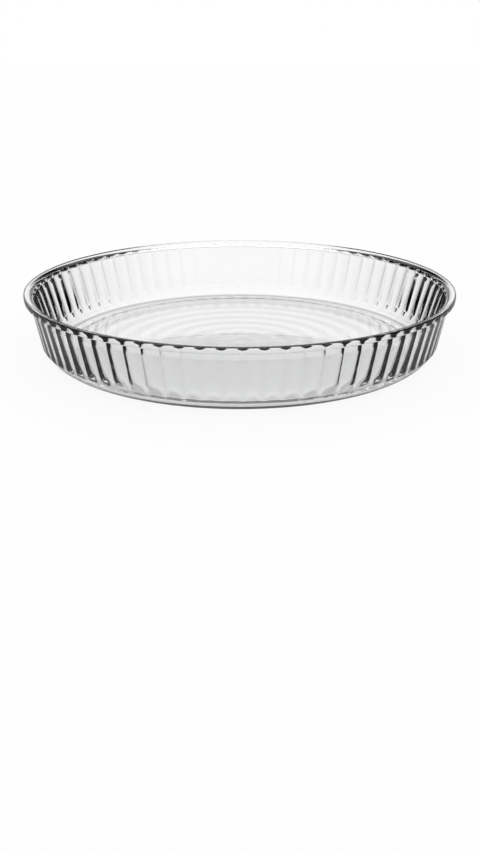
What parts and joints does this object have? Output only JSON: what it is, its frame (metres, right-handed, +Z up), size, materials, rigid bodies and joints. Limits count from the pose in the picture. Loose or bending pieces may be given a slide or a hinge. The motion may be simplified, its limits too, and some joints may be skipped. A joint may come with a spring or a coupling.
{
  "type": "fluted flan dish",
  "caption": "Round shallow baking dish in clear pressed glass, with a flat-topped rim, a fluted wall and a low foot ring.",
  "frame": {"origin": "centre of the dish on the surface that its foot ring stands on", "axes": "+Z up along the dish's axis; +X and +Y both pass through a groove between two flutes"},
  "size_m": [0.28, 0.28, 0.0432],
  "materials": {
    "clear_glass": "clear colourless pressed glass, fire-polished and smooth"
  },
  "bodies": {
    "root": {"glass_dish": "clear_glass"}
  },
  "joints": []
}
